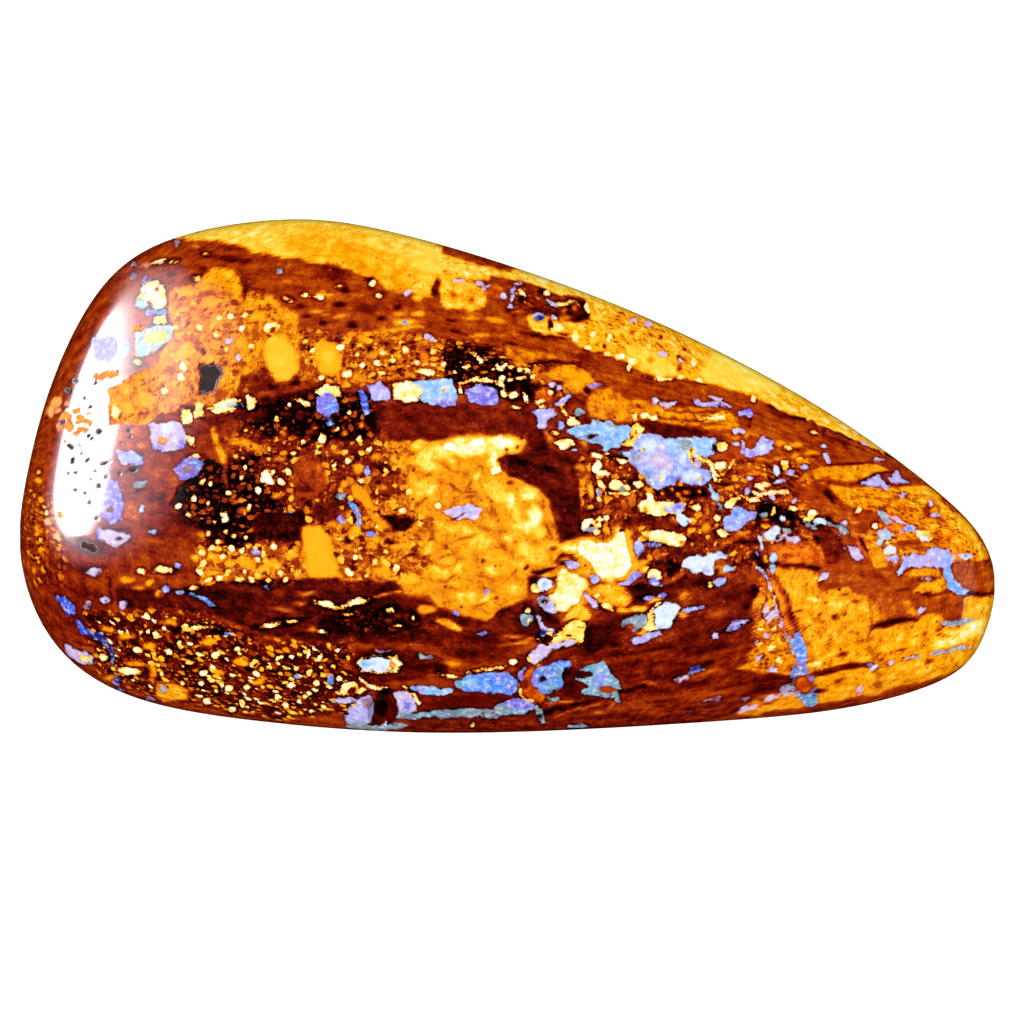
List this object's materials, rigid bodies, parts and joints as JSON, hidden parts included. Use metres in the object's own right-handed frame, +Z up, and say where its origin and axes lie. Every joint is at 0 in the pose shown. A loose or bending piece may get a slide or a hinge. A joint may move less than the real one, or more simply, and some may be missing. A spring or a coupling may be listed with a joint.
{
  "type": "polished boulder opal stone",
  "caption": "Freeform polished boulder opal with a low domed face, a rounded edge and a flat back, for display or for setting in jewellery.",
  "frame": {"origin": "middle of the flat back the stone rests on", "axes": "+Z up through the domed face, +X along the stone towards its narrow end, +Y across it towards the long sloping edge"},
  "size_m": [0.0406, 0.0214, 0.0066],
  "materials": {
    "boulder_opal": "polished"
  },
  "bodies": {
    "root": {"opal_stone": "boulder_opal"}
  },
  "joints": []
}
